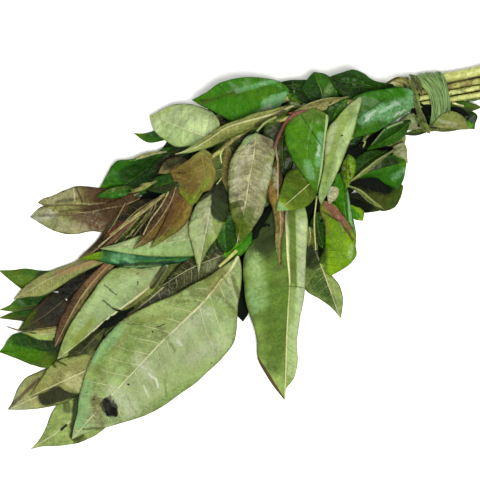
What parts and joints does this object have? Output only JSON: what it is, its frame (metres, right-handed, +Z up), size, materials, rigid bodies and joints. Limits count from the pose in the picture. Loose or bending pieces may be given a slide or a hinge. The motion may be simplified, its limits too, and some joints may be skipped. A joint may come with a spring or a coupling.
{
  "type": "tied bunch of leafy shoots",
  "caption": "Bunch of fresh leafy shoots with long pointed leaves, tied near the cut stem ends with a strip of leaf and lying flat on its side.",
  "frame": {"origin": "centre of the bottom of the bunch's box, on the surface it lies on", "axes": "+Z up from the surface, +X along the bunch from the leaf tips to the cut stem ends, +Y across it, on the side of the leaves away from the viewer"},
  "size_m": [0.3676, 0.2638, 0.0415],
  "materials": {
    "leaf_upper_side": "satin",
    "leaf_underside": "matte",
    "young_leaf": "matte",
    "stem": "matte",
    "tie_strip": "matte"
  },
  "bodies": {
    "root": {"leaf_behind_tie": "leaf_upper_side", "leaf_big_pale": "leaf_underside", "leaf_black_left": "leaf_upper_side", "leaf_blush_narrow": "young_leaf", "leaf_bright_left": "leaf_upper_side", "leaf_brown_left_high": "young_leaf", "leaf_brown_left_low": "young_leaf", "leaf_brown_strip": "young_leaf", "leaf_dark_back_left": "leaf_upper_side", "leaf_dark_fold": "leaf_upper_side", "leaf_dark_right": "leaf_upper_side", "leaf_dark_tip": "leaf_upper_side", "leaf_deep_green": "leaf_upper_side", "leaf_deep_green_right": "leaf_upper_side", "leaf_floor_back": "leaf_upper_side", "leaf_floor_big": "leaf_upper_side", "leaf_floor_centre": "leaf_upper_side", "leaf_floor_gap": "leaf_upper_side", "leaf_floor_right": "leaf_upper_side", "leaf_glossy_fold": "leaf_upper_side", "leaf_glossy_narrow": "leaf_upper_side", "leaf_glossy_right": "leaf_upper_side", "leaf_glossy_top": "leaf_upper_side", "leaf_grey_corner": "leaf_underside", "leaf_grey_green": "leaf_underside", "leaf_hollow_right": "leaf_underside", "leaf_lime_curl": "leaf_upper_side", "leaf_lime_left": "leaf_upper_side", "leaf_long_two_tone": "leaf_underside", "leaf_mid_olive": "leaf_underside", "leaf_olive_corner": "leaf_underside", "leaf_olive_edge": "leaf_underside", "leaf_olive_fold": "leaf_underside", "leaf_olive_left": "leaf_underside", "leaf_olive_strip_left": "leaf_underside", "leaf_olive_tan": "young_leaf", "leaf_pale_fold": "leaf_underside", "leaf_pale_top_left": "leaf_underside", "leaf_sea_green": "leaf_underside", "leaf_shadow_left": "leaf_upper_side", "leaf_slender_plum": "young_leaf", "leaf_split_pale": "leaf_underside", "leaf_tan_centre": "young_leaf", "leaf_tan_crease": "young_leaf", "leaf_teal_roll": "leaf_upper_side", "leaf_two_tips_high": "leaf_upper_side", "leaf_up_green": "leaf_upper_side", "leaf_vivid_right": "leaf_upper_side", "leaf_young_brown": "young_leaf", "leaf_young_golden": "young_leaf", "stem_high_back": "stem", "stem_high_front": "stem", "stem_high_inner": "stem", "stem_high_middle": "stem", "stem_low_back": "stem", "stem_low_front": "stem", "stem_low_middle": "stem", "tie_band": "tie_strip", "tie_strand": "tie_strip", "tie_tail": "tie_strip"}
  },
  "joints": []
}
